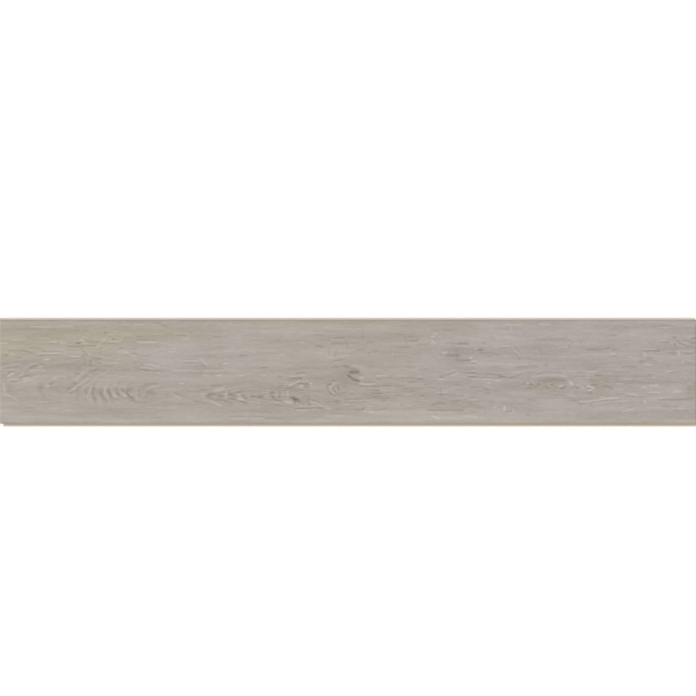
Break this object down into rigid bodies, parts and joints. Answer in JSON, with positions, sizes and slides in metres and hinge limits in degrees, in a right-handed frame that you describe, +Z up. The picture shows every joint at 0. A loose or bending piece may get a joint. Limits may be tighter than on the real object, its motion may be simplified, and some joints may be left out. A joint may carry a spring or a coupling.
{
  "type": "laminate floor plank",
  "caption": "Rectangular laminate floor plank with a pale grey oak face, a fine bevel round it and a tongue-and-groove click profile milled round its edge.",
  "frame": {"origin": "on the flat underside, below the middle of the visible face", "axes": "+X along the plank's length, away from the end tongue and towards the end groove. +Y across the width, towards the long side with the tongue. +Z up, out of the face that is walked on."},
  "size_m": [1.2999, 0.2006, 0.008],
  "materials": {
    "laminate": "satin"
  },
  "bodies": {
    "root": {"laminate_plank": "laminate"}
  },
  "joints": []
}
